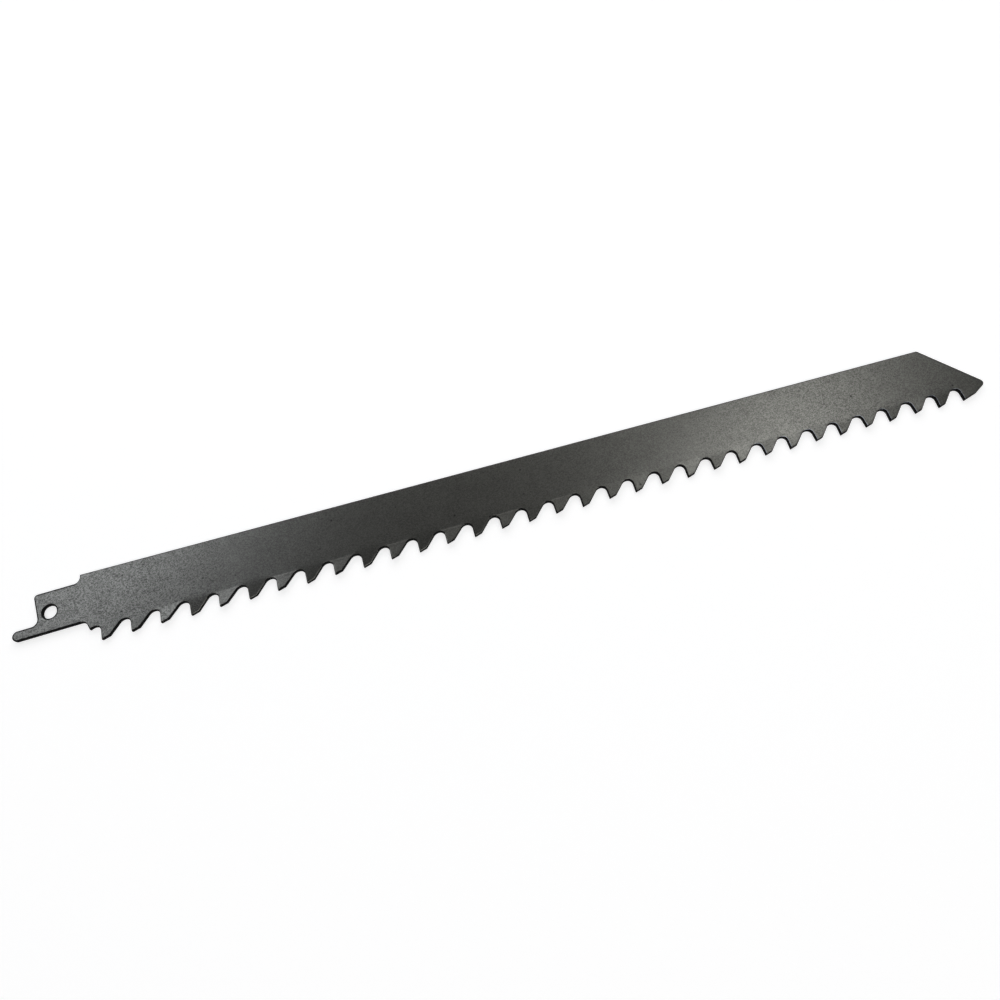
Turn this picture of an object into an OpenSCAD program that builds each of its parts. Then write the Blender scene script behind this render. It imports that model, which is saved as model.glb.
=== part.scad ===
// Reciprocating saw blade: one flat strip of tool steel with a narrow tang at one end, coarse teeth
// set alternately to either side, and a slanted end with a rounded nose.
// The origin is the centre of the tang's hole, halfway through the steel. X runs along the blade
// towards the nose, Y from the teeth towards the spine, and Z up through the thickness.

/* [Strip] */
// Overall length, from the end of the tang's finger to the nose
blade_length = 304.5; // [150:0.1:460]
// Width from the spine to the line of the tooth tips, at the shoulder
blade_width = 21.7; // [18:0.1:30]
// Angle by which the spine closes on that line towards the nose, in degrees
spine_fall = 0.16; // [0:0.01:0.5]
// Thickness of the steel
thickness = 1.25; // [0.9:0.05:1.6]
// Angle between the line of the tooth tips and the slanted end, in degrees
slant_angle = 47.8; // [35:0.1:60]
// Radius where the spine turns into the slanted end
slant_r = 0.6; // [0.2:0.1:3]
// Radius of the nose
nose_r = 1.3; // [0.4:0.1:2]
// Height of that radius's centre above the line of the tooth tips
nose_height = 4.4; // [4:0.05:7]

/* [Teeth] */
// Distance from one tooth tip to the next
tooth_pitch = 8.467; // [7.5:0.001:12]
// Depth of the gullets
tooth_depth = 4.4; // [3.5:0.05:5.5]
// Angle by which each rake face leans back from square to the blade, in degrees
rake_angle = 0.5; // [0:0.5:6]
// Length along the blade of the relief land behind a tip
land_length = 2.35; // [1.2:0.05:2.6]
// Angle of the relief land, in degrees
land_angle = 16; // [8:1:22]
// Radius of a gullet beside the rake face
gullet_front_r = 1.5; // [1:0.05:1.8]
// Radius of a gullet beside the tooth's back
gullet_back_r = 2.2; // [1:0.05:2.6]
// Length of the flat top of a gullet, between its two radii
gullet_flat = 0.1; // [0.05:0.05:0.6]
// Distance by which each tip stands out sideways past the blade's face
tooth_set = 0.35; // [0.1:0.05:0.7]
// Number of teeth next to the tang that are left flat
flat_teeth = 2; // [0:1:6]
// Distance from the gullets' tops down to the line where the teeth bend
bend_drop = 0.2; // [0.1:0.05:0.6]
// Length over which the outer side of each bend is rounded
bend_length = 2.4; // [1:0.1:4]
// Least distance from the last tip to the end of the nose
tail_least = 8.4; // [8:0.1:12]
// Length along the blade of the land behind the last tip
last_land = 4.85; // [3:0.05:6]

/* [Tang] */
// Length of the tang, from its end face to the shoulder
tang_length = 12.85; // [11:0.05:20]
// Width of the tang
tang_width = 12.5; // [12:0.05:13]
// Height of the step from the tang up to the spine
shoulder_step = 2.4; // [2.2:0.1:6]
// Radius in the corner below the shoulder
shoulder_r = 1.9; // [1:0.1:2]
// Radius on the shoulder's own corner
shoulder_tip_r = 0.2; // [0.05:0.05:0.3]
// Angle by which the tang dips below the line of the blade, in degrees
tang_dip = 1.1; // [0:0.1:3]
// Angle by which the tang's end face leans out towards its top, in degrees
end_lean = 4.5; // [0:0.5:8]
// Radius of the tang's upper corner
tang_corner_r = 1.1; // [0.5:0.1:3]
// Diameter of the hole in the tang
hole_d = 4; // [3.5:0.05:4.6]
// Distance from the tang's end face to the centre of the hole
hole_to_end = 3.7; // [3.3:0.05:5]
// Distance from the tang's lower edge to the centre of the hole
hole_to_edge = 6.1; // [5.8:0.05:6.5]
// Width of the finger below the tang's end
finger_width = 3.05; // [2.5:0.05:3.3]
// Length by which the finger stands out past the tang's end face
finger_length = 7.25; // [5:0.05:10]
// Radius in the corner between the finger and the tang's end face
finger_fillet_r = 1.9; // [0.5:0.1:2]

/* [Heel] */
// Distance along the blade from the shoulder to the first tooth tip
heel_length = 4.7; // [4.5:0.1:8]
// Distance from the first tooth tip back to the face of the heel's relief cut
heel_lead = 3.2; // [2.8:0.05:3.8]
// Angle by which that face leans from square to the blade, in degrees
heel_lean = 19; // [5:1:25]
// Radius in the corner of the relief cut
heel_r = 1.8; // [1:0.1:2]

/* [Hidden] */

// Sides of the round hole, and the turn between neighbouring points of every other arc
$fn = 96;
arc_step = 7.5;
// Flat facets in the rounded side of each bend
bend_steps = 5;
// Spare length that carries each cutting shape clear of the steel
spare = 2;
// Length by which the bent edge laps into the flat strip
overlap = 1;

function unit(v) = v / norm(v);
function bearing(v) = atan2(v.y, v.x);
function turned(p, angle) = [p.x * cos(angle) - p.y * sin(angle), p.x * sin(angle) + p.y * cos(angle)];
function short_turn(angle) = angle > 180 ? angle - 360 : angle < -180 ? angle + 360 : angle;
function on_circle(centre, r, angle) = centre + r * [cos(angle), sin(angle)];

// Points along a round stretch from one bearing to another, both ends included
function arc(centre, r, from, to) =
    let (steps = max(2, ceil(abs(to - from) / arc_step)))
    [for (i = [0:steps]) on_circle(centre, r, from + (to - from) * i / steps)];

// A corner rounded with radius r, between the points before and after it
function rounded(before, corner, after, r) =
    let (
        u = unit(before - corner),
        v = unit(after - corner),
        half = acos(u * v) / 2,
        centre = corner + unit(u + v) * r / sin(half),
        from = bearing(corner + u * r / tan(half) - centre),
        turn = short_turn(bearing(corner + v * r / tan(half) - centre) - from)
    )
    arc(centre, r, from, from + turn);

// Bearing at which a line from point p touches a circle, which lies on its right or on its left
function touch_on_right(p, centre, r) = bearing(centre - p) + asin(r / norm(centre - p)) + 90;
function touch_on_left(p, centre, r) = bearing(centre - p) - asin(r / norm(centre - p)) - 90;

// Tang, first measured square to itself from the hole's centre and then turned by its dip
tang_low_y = -hole_to_edge;
tang_high_y = tang_width - hole_to_edge;
finger_top_y = tang_low_y + finger_width;
finger_r = finger_width / 2;
finger_end_x = -hole_to_end - finger_length;
function end_face(y) = [-hole_to_end - y * tan(end_lean), y];
finger_centre = turned([finger_end_x + finger_r, tang_low_y + finger_r], tang_dip);
finger_top = turned([finger_end_x, finger_top_y], tang_dip);
finger_low = turned([finger_end_x, tang_low_y], tang_dip);
finger_corner = turned(end_face(finger_top_y), tang_dip);
tang_corner = turned(end_face(tang_high_y), tang_dip);

// Strip, measured along the blade from the hole's centre
function tang_edge_y(y, x) = y / cos(tang_dip) + x * tan(tang_dip);
shoulder_x = tang_length - hole_to_end;
shoulder_low = [shoulder_x, tang_edge_y(tang_high_y, shoulder_x)];
spine_y = shoulder_low.y + shoulder_step;
shoulder_tip = [shoulder_x, spine_y];
tip_y = spine_y - blade_width;
first_tip_x = shoulder_x + heel_length;
gullet_top_y = tip_y + tooth_depth;

// Slanted end, nose and the land behind the last tip
nose_end_x = finger_centre.x - finger_r + blade_length;
nose_centre = [nose_end_x - nose_r, tip_y + nose_height];
slant_bearing = 90 - slant_angle;
slant_low = on_circle(nose_centre, nose_r, slant_bearing);
slant_steepness = tan(slant_angle) - tan(spine_fall);
slant_rise = spine_y - slant_low.y - (slant_low.x - shoulder_x) * tan(spine_fall);
slant_top = slant_low + slant_rise / slant_steepness * [-1, tan(slant_angle)];
tooth_count = floor((nose_end_x - first_tip_x - tail_least) / tooth_pitch) + 1;
last_tip_x = first_tip_x + (tooth_count - 1) * tooth_pitch;
chin = [last_tip_x + last_land, tip_y + last_land * tan(land_angle)];

// Heel's relief cut, whose face runs up to the tang's lower edge
heel_face_x = first_tip_x - heel_lead;
heel_slope = tan(heel_lean) * tan(tang_dip);
heel_top_y = (tang_edge_y(tang_low_y, heel_face_x) + gullet_top_y * heel_slope) / (1 + heel_slope);
function heel_face(y) = [heel_face_x - (y - gullet_top_y) * tan(heel_lean), y];

// One tooth and the gullet behind it, measured from the tooth's tip
land_end = [land_length, land_length * tan(land_angle)];
front_centre = [
    tooth_pitch + ((tooth_depth - gullet_front_r) * sin(rake_angle) - gullet_front_r) / cos(rake_angle),
    tooth_depth - gullet_front_r
];
back_centre = [front_centre.x - gullet_flat, tooth_depth - gullet_back_r];
gullet_mid_x = front_centre.x - gullet_flat / 2;

// Bend of a set tooth: one face folds sharply and the other is rounded
half_thickness = thickness / 2;
bend_y = tooth_depth - bend_drop;
set_angle = atan(tooth_set / bend_y);
outer_bend_y = bend_y - thickness * (1 / cos(set_angle) - 1) / tan(set_angle);
outer_bend_r = bend_length / 2 / tan(set_angle / 2);
join_y = outer_bend_y + bend_length / 2 + overlap;
set_count = tooth_count - 1;
first_cell_x = first_tip_x - tooth_pitch + gullet_mid_x;
first_set_x = first_cell_x + flat_teeth * tooth_pitch;
last_cell_x = first_cell_x + set_count * tooth_pitch;

outline_points = concat(
    arc(finger_centre, finger_r, 270 + tang_dip, 90 + tang_dip),
    rounded(finger_top, finger_corner, tang_corner, finger_fillet_r),
    rounded(finger_corner, tang_corner, shoulder_low, tang_corner_r),
    rounded(tang_corner, shoulder_low, shoulder_tip, shoulder_r),
    rounded(shoulder_low, shoulder_tip, slant_top, shoulder_tip_r),
    rounded(shoulder_tip, slant_top, slant_low, slant_r),
    arc(nose_centre, nose_r, slant_bearing, touch_on_left(chin, nose_centre, nose_r)),
    [chin, [last_tip_x, tip_y], heel_face(tip_y)],
    rounded(heel_face(tip_y), heel_face(heel_top_y), finger_low, heel_r)
);

gullet_points = concat(
    [[0, -spare], [0, 0], land_end],
    arc(back_centre, gullet_back_r, touch_on_right(land_end, back_centre, gullet_back_r), 90),
    arc(front_centre, gullet_front_r, 90, -rake_angle),
    [[tooth_pitch, 0], [tooth_pitch, -spare]]
);

// Outline of the whole blade, as it is punched from flat strip
module flat_outline() {
    difference() {
        polygon(outline_points);
        circle(d = hole_d);
        for (i = [-1:tooth_count - 2])
            translate([first_tip_x + i * tooth_pitch, tip_y])
                polygon(gullet_points);
    }
}

// Cross-section of the toothed edge at one tooth, with Y measured from the tips: the tooth is bent
// upwards where side is 1 and downwards where it is -1
function set_section(side) =
    let (low_z = half_thickness + (bend_y + spare) * tan(set_angle))
    concat(
        [
            [join_y, side * half_thickness],
            [bend_y, side * half_thickness],
            [-spare, side * low_z],
            [-spare, side * (low_z - thickness / cos(set_angle))]
        ],
        [for (i = [bend_steps:-1:0])
            let (turn = set_angle * i / bend_steps)
            [
                outer_bend_y + bend_length / 2 - outer_bend_r * sin(turn),
                side * (outer_bend_r * (1 - cos(turn)) - half_thickness)
            ]],
        [[join_y, -side * half_thickness]]
    );

// The strip with its toothed edge bent tooth by tooth, from the middle of each gullet to the next.
// The teeth next to the tang stay flat, and so does the last one, which runs into the nose.
module set_strip() {
    flat_low_y = tip_y + join_y - overlap;
    translate([finger_end_x - spare, flat_low_y, -half_thickness])
        cube([blade_length + 2 * spare, spine_y - flat_low_y + spare, thickness]);
    translate([finger_end_x - spare, tip_y - spare, -half_thickness])
        cube([first_set_x - finger_end_x + spare, join_y + spare, thickness]);
    translate([last_cell_x, tip_y - spare, -half_thickness])
        cube([nose_end_x - last_cell_x + spare, join_y + spare, thickness]);
    for (i = [flat_teeth:set_count - 1])
        translate([first_cell_x + i * tooth_pitch, tip_y, 0])
            rotate([90, 0, 90])
                linear_extrude(tooth_pitch)
                    polygon(set_section(i % 2 == 0 ? 1 : -1));
}

module blade() {
    color([0.29, 0.29, 0.28])
        intersection() {
            set_strip();
            linear_extrude(2 * (thickness + tooth_set + spare), center = true)
                flat_outline();
        }
}

blade();
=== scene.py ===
import bpy
import math
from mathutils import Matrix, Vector


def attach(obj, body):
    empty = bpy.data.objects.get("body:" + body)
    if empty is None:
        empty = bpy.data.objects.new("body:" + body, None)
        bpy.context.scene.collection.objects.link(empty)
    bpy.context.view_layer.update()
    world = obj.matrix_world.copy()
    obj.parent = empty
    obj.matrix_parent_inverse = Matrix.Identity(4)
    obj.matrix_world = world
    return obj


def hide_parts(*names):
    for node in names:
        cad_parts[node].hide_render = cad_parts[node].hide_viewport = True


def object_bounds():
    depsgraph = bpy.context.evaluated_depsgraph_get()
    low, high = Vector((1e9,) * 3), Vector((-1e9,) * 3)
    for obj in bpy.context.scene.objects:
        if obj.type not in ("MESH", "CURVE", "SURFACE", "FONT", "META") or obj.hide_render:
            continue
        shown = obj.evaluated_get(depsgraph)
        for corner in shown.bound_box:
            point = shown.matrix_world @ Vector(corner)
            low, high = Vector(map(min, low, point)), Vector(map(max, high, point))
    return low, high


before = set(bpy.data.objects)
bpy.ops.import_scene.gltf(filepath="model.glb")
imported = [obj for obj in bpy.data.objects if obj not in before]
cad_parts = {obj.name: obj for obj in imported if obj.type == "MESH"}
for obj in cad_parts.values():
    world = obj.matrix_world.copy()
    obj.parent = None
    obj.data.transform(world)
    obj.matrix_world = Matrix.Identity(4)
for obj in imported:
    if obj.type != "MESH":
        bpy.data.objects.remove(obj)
cad_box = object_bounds()

# The blade's sizes in millimetres, as in the CAD model. X runs along it to the nose, Y from the teeth
# to the spine and Z up through the thickness, from the centre of the tang's hole.
MM = 0.001
BLADE_LENGTH = 304.5
BLADE_WIDTH = 21.7
SPINE_FALL = 0.16
THICKNESS = 1.25
SLANT_ANGLE = 47.8
SLANT_R = 0.6
NOSE_R = 1.3
NOSE_HEIGHT = 4.4
TOOTH_PITCH = 8.467
TOOTH_DEPTH = 4.4
RAKE_ANGLE = 0.5
LAND_LENGTH = 2.35
LAND_ANGLE = 16
GULLET_FRONT_R = 1.5
GULLET_BACK_R = 2.2
GULLET_FLAT = 0.1
BEND_RISE = 0.35
BEND_ANGLE = 4.1
LIP_DEPTH = 0.35
LIP_ANGLE = 6.3
LIP_EASE = 0.6
BEND_LENGTH = 3.0
FLAT_TEETH = 2
TAIL_LEAST = 8.4
LAST_LAND = 4.85
TANG_LENGTH = 12.85
TANG_WIDTH = 12.5
SHOULDER_STEP = 2.4
SHOULDER_R = 1.9
TANG_DIP = 1.1
END_LEAN = 4.5
TANG_CORNER_R = 1.1
HOLE_D = 4
HOLE_TO_END = 3.7
HOLE_TO_EDGE = 6.1
FINGER_WIDTH = 3.05
FINGER_LENGTH = 7.25
FINGER_FILLET_R = 1.9
HEEL_LENGTH = 4.7
HEEL_LEAD = 3.2
HEEL_LEAN = 19
HEEL_R = 1.8

ARC_STEP = 6
HOLE_SIDES = 96
EDGE_ROUND = 0.42
EDGE_SHARPNESS = 0.7
EDGE_ROUND_STEPS = 5
BEND_STEPS = 8
# From these places along the blade the edges' rounding gets painted shade on the spine, lands and rakes
SHADED_SPINE_FROM_X = 50
SHADED_LANDS_TO_X = 92
SHADED_RAKES_FROM_X = 120
# and, towards the nose, a painted highlight on the rims
HIGHLIT_RIMS_FROM_X = 215
GULLET_FADE = 1.3
FADE_STEPS = 8

# The white board is flat for 2 m round the blade and then curves up into a low wall, all in metres.
# Its own glow makes up for the soft light on it, and for the dim light further out.
BOARD_CENTRE_X = 0.14
BOARD_R = 2.0
COVE_R = 1.1
COVE_STEPS = 12
BOARD_GLOW = 0.66
RIM_GLOW = 0.97


def sin(angle):
    return math.sin(math.radians(angle))


def cos(angle):
    return math.cos(math.radians(angle))


def tan(angle):
    return math.tan(math.radians(angle))


def bearing(v):
    return math.degrees(math.atan2(v.y, v.x))


def turned(x, y, angle):
    return Vector((x * cos(angle) - y * sin(angle), x * sin(angle) + y * cos(angle)))


def on_circle(centre, r, angle):
    return centre + r * Vector((cos(angle), sin(angle)))


def arc(centre, r, start, end):
    steps = max(2, math.ceil(abs(end - start) / ARC_STEP))
    return [on_circle(centre, r, start + (end - start) * i / steps) for i in range(steps + 1)]


def rounded(before, corner, after, r):
    """A corner rounded with radius r, between the points before and after it."""
    u = (before - corner).normalized()
    v = (after - corner).normalized()
    half = math.degrees(math.acos(u.dot(v))) / 2
    centre = corner + (u + v).normalized() * (r / sin(half))
    start = bearing(corner + u * (r / tan(half)) - centre)
    turn = bearing(corner + v * (r / tan(half)) - centre) - start
    turn = (turn + 180) % 360 - 180
    return arc(centre, r, start, start + turn)


def touch(p, centre, r, side):
    """Bearing at which a line from p touches a circle, which lies on its right (1) or its left (-1)."""
    reach = centre - p
    return bearing(reach) + side * (math.degrees(math.asin(r / reach.length)) + 90)


# Tang, measured square to itself and then turned by its dip
tang_low_y = -HOLE_TO_EDGE
tang_high_y = TANG_WIDTH - HOLE_TO_EDGE
finger_top_y = tang_low_y + FINGER_WIDTH
finger_r = FINGER_WIDTH / 2
finger_end_x = -HOLE_TO_END - FINGER_LENGTH
finger_centre = turned(finger_end_x + finger_r, tang_low_y + finger_r, TANG_DIP)
finger_top = turned(finger_end_x, finger_top_y, TANG_DIP)
finger_low = turned(finger_end_x, tang_low_y, TANG_DIP)
finger_corner = turned(-HOLE_TO_END - finger_top_y * tan(END_LEAN), finger_top_y, TANG_DIP)
tang_corner = turned(-HOLE_TO_END - tang_high_y * tan(END_LEAN), tang_high_y, TANG_DIP)

# Strip
shoulder_x = TANG_LENGTH - HOLE_TO_END
shoulder_low = Vector((shoulder_x, tang_high_y / cos(TANG_DIP) + shoulder_x * tan(TANG_DIP)))
spine_y = shoulder_low.y + SHOULDER_STEP
shoulder_tip = Vector((shoulder_x, spine_y))
tip_y = spine_y - BLADE_WIDTH
first_tip_x = shoulder_x + HEEL_LENGTH
gullet_top_y = tip_y + TOOTH_DEPTH

# Slanted end, nose and last land
nose_end_x = finger_centre.x - finger_r + BLADE_LENGTH
nose_centre = Vector((nose_end_x - NOSE_R, tip_y + NOSE_HEIGHT))
slant_bearing = 90 - SLANT_ANGLE
slant_low = on_circle(nose_centre, NOSE_R, slant_bearing)
slant_rise = spine_y - slant_low.y - (slant_low.x - shoulder_x) * tan(SPINE_FALL)
slant_run = slant_rise / (tan(SLANT_ANGLE) - tan(SPINE_FALL))
slant_top = slant_low + slant_run * Vector((-1, tan(SLANT_ANGLE)))
tooth_count = math.floor((nose_end_x - first_tip_x - TAIL_LEAST) / TOOTH_PITCH) + 1
last_tip_x = first_tip_x + (tooth_count - 1) * TOOTH_PITCH
chin = Vector((last_tip_x + LAST_LAND, tip_y + LAST_LAND * tan(LAND_ANGLE)))

# Heel's relief cut
heel_face_x = first_tip_x - HEEL_LEAD
heel_slope = tan(HEEL_LEAN) * tan(TANG_DIP)
tang_edge_y = tang_low_y / cos(TANG_DIP) + heel_face_x * tan(TANG_DIP)
heel_top_y = (tang_edge_y + gullet_top_y * heel_slope) / (1 + heel_slope)
heel_top = Vector((heel_face_x - (heel_top_y - gullet_top_y) * tan(HEEL_LEAN), heel_top_y))
heel_foot = Vector((heel_face_x, gullet_top_y))

# One gullet, measured from the tip of the tooth before it
land_end = Vector((LAND_LENGTH, LAND_LENGTH * tan(LAND_ANGLE)))
front_rise = TOOTH_DEPTH - GULLET_FRONT_R
front_centre = Vector((
    TOOTH_PITCH + (front_rise * sin(RAKE_ANGLE) - GULLET_FRONT_R) / cos(RAKE_ANGLE),
    front_rise))
back_centre = Vector((front_centre.x - GULLET_FLAT, TOOTH_DEPTH - GULLET_BACK_R))
gullet_mid_x = front_centre.x - GULLET_FLAT / 2
back_arc = arc(back_centre, GULLET_BACK_R, touch(land_end, back_centre, GULLET_BACK_R, 1), 90)
front_arc = arc(front_centre, GULLET_FRONT_R, 90, -RAKE_ANGLE)
gullet = back_arc + front_arc

# Bend of the set teeth
half_thickness = THICKNESS / 2
bend_y = TOOTH_DEPTH + BEND_RISE
outer_bend_y = bend_y - THICKNESS * (1 / cos(BEND_ANGLE) - 1) / tan(BEND_ANGLE)
outer_bend_r = BEND_LENGTH / 2 / tan(BEND_ANGLE / 2)
first_cell_x = first_tip_x - TOOTH_PITCH + gullet_mid_x


def blade_outline():
    """Points round the blade: tang, spine, slanted end, nose, and back along the teeth to the heel."""
    points = arc(finger_centre, finger_r, 270 + TANG_DIP, 90 + TANG_DIP)
    points += rounded(finger_top, finger_corner, tang_corner, FINGER_FILLET_R)
    points += rounded(finger_corner, tang_corner, shoulder_low, TANG_CORNER_R)
    points += rounded(tang_corner, shoulder_low, shoulder_tip, SHOULDER_R)
    points += [shoulder_tip]
    points += rounded(shoulder_tip, slant_top, slant_low, SLANT_R)
    points += arc(nose_centre, NOSE_R, slant_bearing, touch(chin, nose_centre, NOSE_R, -1))
    points += [chin, Vector((last_tip_x, tip_y))]
    for i in reversed(range(tooth_count - 1)):
        tip = Vector((first_tip_x + i * TOOTH_PITCH, tip_y))
        points += [tip + p for p in reversed(gullet)] + [tip + land_end, tip]
    # The gullet before the first tooth opens into the heel's relief cut
    tip = Vector((first_tip_x - TOOTH_PITCH, tip_y))
    lean = Vector((sin(HEEL_LEAN), -cos(HEEL_LEAN)))
    centre = tip + back_centre
    reach = (heel_foot - centre).dot(lean)
    point = heel_foot + lean * (
        -reach - math.sqrt(reach ** 2 + GULLET_BACK_R ** 2 - (heel_foot - centre).length_squared))
    points += [tip + p for p in reversed(front_arc)]
    points += arc(centre, GULLET_BACK_R, 90, bearing(point - centre))
    points += rounded(point, heel_top, finger_low, HEEL_R)
    return points


def side_of_cell(cell):
    """Side to which a tooth is bent: 1 up, -1 down. The first teeth and the last one stay flat."""
    if FLAT_TEETH <= cell < tooth_count - 1:
        return 1 if cell % 2 == 0 else -1
    return 0


def side_at(x):
    """Side to which the edge is bent at x, easing from one tooth to the next across a gullet."""
    place = (x - first_cell_x) / TOOTH_PITCH
    near = round(place)
    ease = (place - near) * TOOTH_PITCH / GULLET_FADE / 2 + 0.5
    ease = min(1, max(0, ease))
    ease = ease * ease * (3 - 2 * ease)
    return side_of_cell(near - 1) + (side_of_cell(near) - side_of_cell(near - 1)) * ease


def bend_rows():
    """Heights above the tips of the lines across the rounded side of a bend, and the lift at each."""
    rows = []
    for i in range(BEND_STEPS + 1):
        turn = BEND_ANGLE * i / BEND_STEPS
        rows.append((outer_bend_y + BEND_LENGTH / 2 - outer_bend_r * sin(turn),
                     outer_bend_r * (1 - cos(turn))))
    return rows


def lip_rows():
    """The same for the sharp side, which the setting punch leaves with a small steep lip."""
    rows = [(bend_y, 0), (bend_y - LIP_DEPTH, LIP_DEPTH * tan(LIP_ANGLE))]
    low_y = bend_y - LIP_DEPTH - LIP_EASE
    rows.append((low_y, (bend_y - low_y) * tan(BEND_ANGLE)))
    return rows


def lift_at(y, rows):
    if y >= rows[0][0]:
        return 0
    for (high, lift_high), (low, lift_low) in zip(rows, rows[1:]):
        if y >= low:
            return lift_high + (lift_low - lift_high) * (high - y) / (high - low)
    return rows[-1][1] + (rows[-1][0] - y) * tan(BEND_ANGLE)


def put_mode(mode):
    bpy.ops.object.mode_set(mode=mode)


def bisect(x=None, y=None):
    bpy.ops.mesh.select_all(action="SELECT")
    if x is not None:
        bpy.ops.mesh.bisect(plane_co=(x * MM, 0, 0), plane_no=(1, 0, 0))
    else:
        bpy.ops.mesh.bisect(plane_co=(0, y * MM, 0), plane_no=(0, 1, 0))


def finish_with(piece, kind, **settings):
    modifier = piece.modifiers.new(kind.lower(), kind)
    for name, value in settings.items():
        setattr(modifier, name, value)
    bpy.ops.object.modifier_apply(modifier=modifier.name)


def on_rake(place):
    """Whether a place on the outline is on the rake face of a tooth or just above it."""
    past_tip = (place.x - first_tip_x + TOOTH_PITCH / 2) % TOOTH_PITCH - TOOTH_PITCH / 2
    return abs(past_tip) < 0.6 and place.y < gullet_top_y - 0.6


def finish_of(face):
    """A face's material before the teeth are bent: 0 for the oxide of the flats, 1 for the black walls
    (scale and painted shade) and painted shade on part of their rounding, 2 for a painted highlight on rims."""
    place = face.center / MM
    upright = abs(face.normal.z)
    on_tang = place.x < shoulder_x - 1
    on_slant = place.x > slant_top.x + 0.5 and place.y > nose_centre.y + 1
    # Round the tang and the slanted end the whole rounding is black, as painted shade
    if on_tang or on_slant:
        return 1 if upright < 0.99999 else 0
    if upright < 0.9:
        return 1
    steep = upright < 0.995
    if place.y > gullet_top_y + 1:
        return 1 if steep and place.x > SHADED_SPINE_FROM_X else 0
    if upright > 0.99999:
        return 0
    if place.x < SHADED_RAKES_FROM_X:
        near_top = place.y > gullet_top_y - 1
        on_land = place.x < SHADED_LANDS_TO_X and side_at(place.x) > -0.5 and not on_rake(place)
        return 1 if steep and (near_top or on_land) else 0
    # How far the wall below faces back to the tang
    back = -face.normal.x / abs(face.normal.y)
    # Towards the nose the rims that face back to the tang get the painted highlight (2)
    if place.x < HIGHLIT_RIMS_FROM_X:
        return 1 if steep and back > -0.25 else 0
    if back > 0.5:
        return 1 if steep else 2
    return 2 if steep and back > -0.25 else 0


def make_blade():
    bpy.ops.object.select_all(action="DESELECT")
    outline = blade_outline()
    bpy.ops.mesh.primitive_circle_add(vertices=len(outline), radius=1, fill_type="NGON")
    piece = bpy.context.object
    piece.name = "saw_blade"
    for material in (tempered_steel(), sheared_edge(), painted_rim_highlight()):
        piece.data.materials.append(material)
    for vertex, point in zip(piece.data.vertices, outline):
        vertex.co = (point.x * MM, point.y * MM, -half_thickness * MM)
    put_mode("EDIT")
    bpy.ops.mesh.select_all(action="SELECT")
    bpy.ops.mesh.remove_doubles(threshold=0.005 * MM)
    bpy.ops.mesh.select_all(action="SELECT")
    bpy.ops.mesh.extrude_region_move(TRANSFORM_OT_translate={"value": (0, 0, THICKNESS * MM)})
    bpy.ops.mesh.select_all(action="SELECT")
    bpy.ops.mesh.normals_make_consistent(inside=False)
    put_mode("OBJECT")

    bpy.ops.object.select_all(action="DESELECT")
    bpy.ops.mesh.primitive_cylinder_add(
        vertices=HOLE_SIDES, radius=HOLE_D / 2 * MM, depth=4 * THICKNESS * MM, location=(0, 0, 0))
    drill = bpy.context.object
    bpy.ops.object.select_all(action="DESELECT")
    piece.select_set(True)
    bpy.context.view_layer.objects.active = piece
    finish_with(piece, "BOOLEAN", operation="DIFFERENCE", object=drill, solver="EXACT")
    bpy.data.objects.remove(drill)
    finish_with(piece, "BEVEL", width=EDGE_ROUND * MM, segments=EDGE_ROUND_STEPS,
                profile=EDGE_SHARPNESS, limit_method="ANGLE", angle_limit=math.radians(35),
                use_clamp_overlap=False)
    for face in piece.data.polygons:
        face.material_index = finish_of(face)

    rows = bend_rows()
    lip = lip_rows()
    put_mode("EDIT")
    for height, lift in rows + lip:
        bisect(y=tip_y + height)
    for i in range(tooth_count):
        for j in range(-FADE_STEPS // 2, FADE_STEPS // 2 + 1):
            bisect(x=first_cell_x + i * TOOTH_PITCH + j * 2 * GULLET_FADE / FADE_STEPS)
    put_mode("OBJECT")

    for vertex in piece.data.vertices:
        x, y, z = (c / MM for c in vertex.co)
        height = y - tip_y
        side = side_at(x)
        if side == 0 or height > rows[0][0]:
            continue
        share = 0.5 + math.copysign(z, side * z) / THICKNESS
        lift = share * lift_at(height, lip) + (1 - share) * lift_at(height, rows)
        vertex.co.z += side * lift * MM
    return piece


def mark_folds(piece):
    """The inner side of each bend folds sharply, so its line stays crisp."""
    mesh = piece.data
    for edge in mesh.edges:
        a, b = (mesh.vertices[i].co for i in edge.vertices)
        if abs(a.y - b.y) > 0.001 * MM or abs(a.y / MM - tip_y - bend_y) > 0.01:
            continue
        side = side_at((a.x + b.x) / 2 / MM)
        edge.use_edge_sharp = side * (a.z + b.z) > 0.9 * THICKNESS * MM


def linear(hex_colour):
    """An sRGB hex colour as the linear values that sockets take."""
    parts = [int(hex_colour[i:i + 2], 16) / 255 for i in (1, 3, 5)]
    return [p / 12.92 if p <= 0.04045 else ((p + 0.055) / 1.055) ** 2.4 for p in parts] + [1]


def add(tree, kind, settings=None, links=None):
    """A node with its settings and the sockets that feed it."""
    node = tree.nodes.new(kind)
    for name, value in (settings or {}).items():
        if isinstance(name, int) or name in node.inputs:
            node.inputs[name].default_value = value
        else:
            setattr(node, name, value)
    for name, socket in (links or {}).items():
        tree.links.new(socket, node.inputs[name])
    return node


def new_material(name):
    material = bpy.data.materials.new(name)
    material.use_nodes = True
    tree = material.node_tree
    tree.nodes.clear()
    return material, tree


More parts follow.
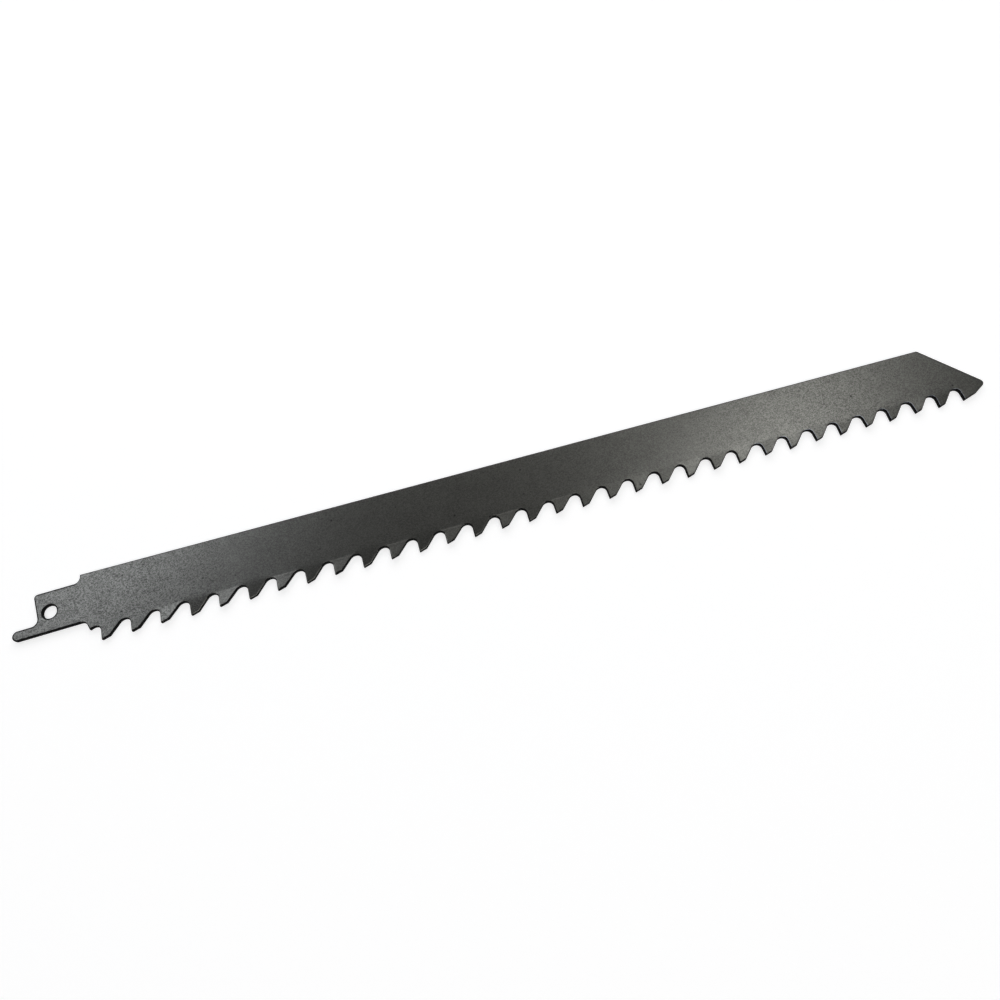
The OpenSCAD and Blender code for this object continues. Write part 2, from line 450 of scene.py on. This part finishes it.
def tempered_steel():
    """Blade steel, blasted and then hardened: a dark grey oxide with a fine satin grain, under a slightly
    cloudy film with small dark pits. The grain's contrast is painted stronger beside the tang and some
    way before the nose, where the lamps' highlights fall: painted sparkle."""
    material, tree = new_material("tempered_steel_oxide")
    place = add(tree, "ShaderNodeTexCoord").outputs["Object"]
    along = add(tree, "ShaderNodeSeparateXYZ", links={"Vector": place}).outputs["X"]
    # The blasted grain is drawn 0.3 mm wide, a pixel in the picture. Its contrast is painted stronger
    #     beside the tang and again some way before the nose, where the lamps' highlights fall: painted
    #     sparkle.
    grain_and_sparkle = add(tree, "ShaderNodeMapRange",
                 {"From Min": 0.03, "From Max": 0.055, "To Min": 0.6, "To Max": 0.05}, {"Value": along})
    from_nose = add(tree, "ShaderNodeMath", {"operation": "SUBTRACT", 1: 0.242}, {0: along})
    from_nose = add(tree, "ShaderNodeMath", {"operation": "ABSOLUTE"}, {0: from_nose.outputs[0]})
    from_nose = add(tree, "ShaderNodeMapRange",
                    {"From Min": 0.0, "From Max": 0.045, "To Min": 1.0, "To Max": 0.55},
                    {"Value": from_nose.outputs[0]})
    grain_and_sparkle = add(tree, "ShaderNodeMath", {"operation": "ADD"},
                 {0: grain_and_sparkle.outputs[0], 1: from_nose.outputs[0]})
    facets = add(tree, "ShaderNodeTexVoronoi", {"Scale": 3800}, {"Vector": place})
    grain = add(tree, "ShaderNodeSeparateXYZ", links={"Vector": facets.outputs["Color"]})
    grain = add(tree, "ShaderNodeMath", {"operation": "SUBTRACT", 1: 0.5}, {0: grain.outputs["X"]})
    grain = add(tree, "ShaderNodeMath", {"operation": "MULTIPLY"},
                {0: grain.outputs[0], 1: grain_and_sparkle.outputs[0]})
    # The film's clouds are about 6 mm across
    cloud = add(tree, "ShaderNodeTexNoise", {"Scale": 160, "Detail": 3}, {"Vector": place})
    level = add(tree, "ShaderNodeMath", {"operation": "MULTIPLY_ADD", 1: 0.2, 2: 0.4},
                {0: cloud.outputs["Fac"]})
    level = add(tree, "ShaderNodeMath", {"operation": "MULTIPLY_ADD", 1: 0.6},
                {0: grain.outputs[0], 2: level.outputs[0]})
    tint = add(tree, "ShaderNodeMix",
               {"data_type": "RGBA", 6: linear("#3C3C39"), 7: linear("#8E8E89")},
               {"Factor": level.outputs[0]})
    # A few pits up to 0.9 mm wide, and small faint ones between them
    for scale, depth in ((160, 0.75), (420, 0.3)):
        spots = add(tree, "ShaderNodeTexVoronoi", {"Scale": scale}, {"Vector": place})
        pit = add(tree, "ShaderNodeMapRange",
                  {"From Min": 0.03, "From Max": 0.075, "To Min": depth, "To Max": 0.0},
                  {"Value": spots.outputs["Distance"]})
        tint = add(tree, "ShaderNodeMix", {"data_type": "RGBA", 7: linear("#262625")},
                   {"Factor": pit.outputs[0], 6: tint.outputs[2]})
    gloss = add(tree, "ShaderNodeMath", {"operation": "MULTIPLY_ADD", 1: -0.04, 2: 0.304},
                {0: grain.outputs[0]})
    bump = add(tree, "ShaderNodeBump", {"Strength": 0.2, "Distance": 0.00002},
               {"Height": grain.outputs[0]})
    shader = add(tree, "ShaderNodeBsdfPrincipled", {"Metallic": 1},
                 {"Base Color": tint.outputs[2], "Roughness": gloss.outputs[0],
                  "Normal": bump.outputs["Normal"]})
    add(tree, "ShaderNodeOutputMaterial", links={"Surface": shader.outputs["BSDF"]})
    return material


def sheared_edge():
    """Punched edges and part of their rounding: rough and black, both soot-black scale and painted shade."""
    material, tree = new_material("edge_scale_and_painted_shade")
    shader = add(tree, "ShaderNodeBsdfPrincipled",
                 {"Base Color": linear("#141414"), "Roughness": 0.85, "Specular IOR Level": 0.1})
    add(tree, "ShaderNodeOutputMaterial", links={"Surface": shader.outputs["BSDF"]})
    return material


def painted_rim_highlight():
    """Painted highlight on the rounded rims near the nose: steel a little brighter and bluer than the oxide.
    """
    material, tree = new_material("painted_rim_highlight_steel")
    shader = add(tree, "ShaderNodeBsdfPrincipled",
                 {"Base Color": linear("#9599A0"), "Metallic": 1, "Roughness": 0.35})
    add(tree, "ShaderNodeOutputMaterial", links={"Surface": shader.outputs["BSDF"]})
    return material


def white_board():
    """Matt white studio board that the blade lies on, which the camera sees as white as the photograph's."""
    material, tree = new_material("white_board")
    rays = add(tree, "ShaderNodeLightPath").outputs
    seen = add(tree, "ShaderNodeMath", {"operation": "MAXIMUM"},
               {0: rays["Is Camera Ray"], 1: rays["Is Glossy Ray"]})
    seen = add(tree, "ShaderNodeMath", {"operation": "MAXIMUM"},
               {0: seen.outputs[0], 1: rays["Is Transmission Ray"]})
    place = add(tree, "ShaderNodeTexCoord").outputs["Object"]
    reach = add(tree, "ShaderNodeVectorMath", {"operation": "LENGTH"}, {0: place})
    glow = add(tree, "ShaderNodeMapRange",
               {"From Min": 0.4, "From Max": BOARD_R, "To Min": BOARD_GLOW, "To Max": RIM_GLOW},
               {"Value": reach.outputs["Value"]})
    glow = add(tree, "ShaderNodeMath", {"operation": "MULTIPLY"},
               {0: glow.outputs[0], 1: seen.outputs[0]})
    board = add(tree, "ShaderNodeBsdfDiffuse", {"Color": linear("#C8C8C8")})
    white = add(tree, "ShaderNodeEmission", {"Color": linear("#FFFFFF")},
                {"Strength": glow.outputs[0]})
    both = add(tree, "ShaderNodeAddShader", links={0: board.outputs[0], 1: white.outputs[0]})
    add(tree, "ShaderNodeOutputMaterial", links={"Surface": both.outputs[0]})
    return material


def make_stage(low):
    """The white board under and round the blade."""
    centre = (BOARD_CENTRE_X, 0, low)
    bpy.ops.object.select_all(action="DESELECT")
    bpy.ops.mesh.primitive_circle_add(vertices=96, radius=BOARD_R, fill_type="NGON", location=centre)
    board = bpy.context.object
    board.name = "board"
    put_mode("EDIT")
    bpy.ops.mesh.select_all(action="SELECT")
    bpy.ops.mesh.region_to_loop()
    r = BOARD_R
    height = 0
    for i in range(1, COVE_STEPS + 1):
        turn = 90 * i / COVE_STEPS
        wider = (BOARD_R + COVE_R * sin(turn)) / r
        rise = COVE_R * (1 - cos(turn)) - height
        bpy.ops.mesh.extrude_edges_move(TRANSFORM_OT_translate={"value": (0, 0, rise)})
        bpy.ops.transform.resize(value=(wider, wider, 1), center_override=centre)
        r *= wider
        height += rise
    put_mode("OBJECT")
    bpy.ops.object.shade_smooth()
    board.data.materials.append(white_board())


def softbox(name, centre, aim_x, width, depth, radiance, colour=(1, 1, 1)):
    """A rectangular studio lamp that shines from centre to the blade at aim_x, as bright as radiance."""
    light = bpy.data.lights.new(name, "AREA")
    light.shape = "RECTANGLE"
    light.size = width
    light.size_y = depth
    light.energy = radiance * math.pi * width * depth
    light.color = colour
    lamp = bpy.data.objects.new(name, light)
    bpy.context.scene.collection.objects.link(lamp)
    lamp.location = centre
    lamp.rotation_euler = (Vector((aim_x, 0, 0)) - Vector(centre)).to_track_quat("-Z", "Y").to_euler()
    lamp.visible_camera = False


def make_camera():
    """The photograph's view: from above the blade's middle, tilted towards its teeth."""
    data = bpy.data.cameras.new("camera")
    data.sensor_width = 36
    data.lens = 29.04
    data.clip_start = 0.01
    camera = bpy.data.objects.new("camera", data)
    bpy.context.scene.collection.objects.link(camera)
    camera.location = (0.110836, -0.101722, 0.22291)
    camera.rotation_euler = [math.radians(a) for a in (24.3714, 1.2642, -16.2461)]
    bpy.context.scene.camera = camera


make_camera()
blade = make_blade()
bpy.ops.object.select_all(action="DESELECT")
blade.select_set(True)
bpy.context.view_layer.objects.active = blade
bpy.ops.object.shade_smooth()
mark_folds(blade)
finish_with(blade, "WEIGHTED_NORMAL", keep_sharp=True)

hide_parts("blade")
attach(blade, "root")

make_stage(cad_box[0].z)
softbox("softbox_left", (-0.351, 0.487, 0.85), 0.03, 0.469, 0.158, 3.57, (0.95, 0.98, 1.06))
softbox("softbox_right", (0.597, 0.266, 0.85), 0.22, 0.155, 0.329, 4.05)
softbox("softbox_front", (0.14, -0.75, 1.41), 0.14, 1.4, 1.0, 2.0)
softbox("softbox_back", (0.305, 0.918, 0.7), 0.14, 1.6, 0.574, 1.9)

world = bpy.data.worlds.new("world")
world.use_nodes = True
world.node_tree.nodes["Background"].inputs["Color"].default_value = (1, 1, 1, 1)
world.node_tree.nodes["Background"].inputs["Strength"].default_value = 0.046
bpy.context.scene.world = world
bpy.context.scene.view_settings.view_transform = "Standard"
